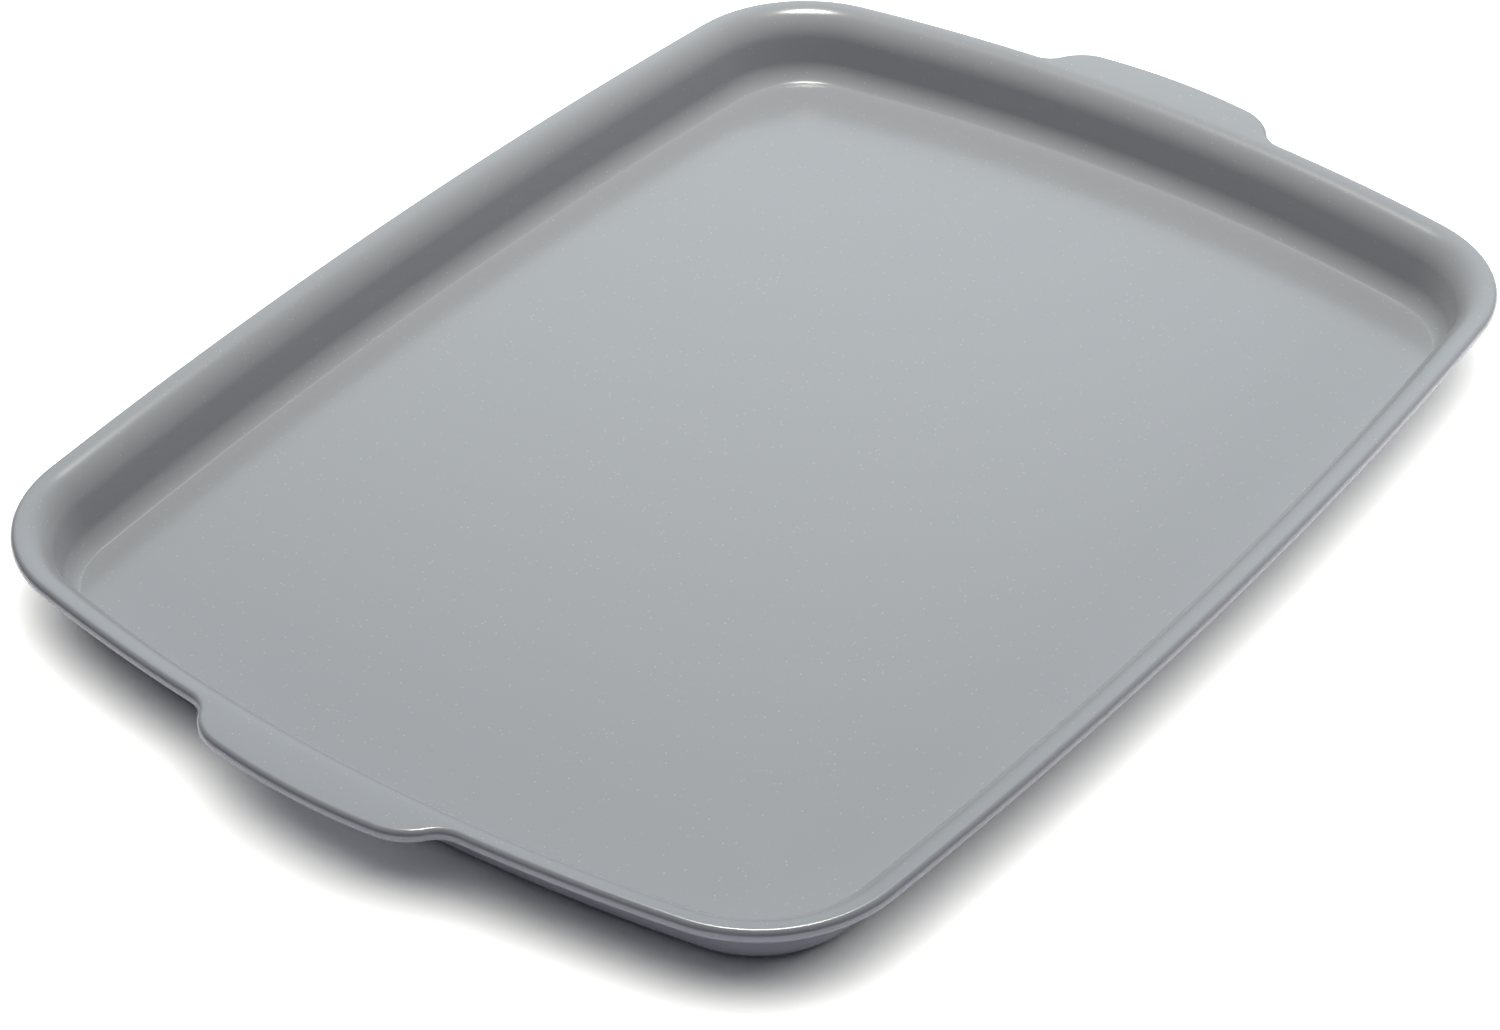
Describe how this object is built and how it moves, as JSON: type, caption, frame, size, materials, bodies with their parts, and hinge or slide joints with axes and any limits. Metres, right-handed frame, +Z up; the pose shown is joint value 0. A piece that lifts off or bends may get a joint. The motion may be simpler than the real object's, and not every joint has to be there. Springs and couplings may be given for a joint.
{
  "type": "jelly roll pan",
  "caption": "Shallow rectangular baking pan with bowed sides, flared walls, a wire-filled rolled edge and a flat tab handle at each short end.",
  "frame": {"origin": "centre of the pan on the surface it stands on, level with the underside", "axes": "+X along the length, through the middle of one handle; +Y across the width; +Z up, out of the open top"},
  "size_m": [0.4854, 0.342, 0.0272],
  "materials": {
    "coated_steel": "satin grey ceramic non-stick coat with a fine sparkle, on pressed carbon steel",
    "wire_steel": "drawn galvanised steel wire"
  },
  "bodies": {
    "root": {"pan_body": "coated_steel", "rim_wire": "wire_steel"}
  },
  "joints": []
}
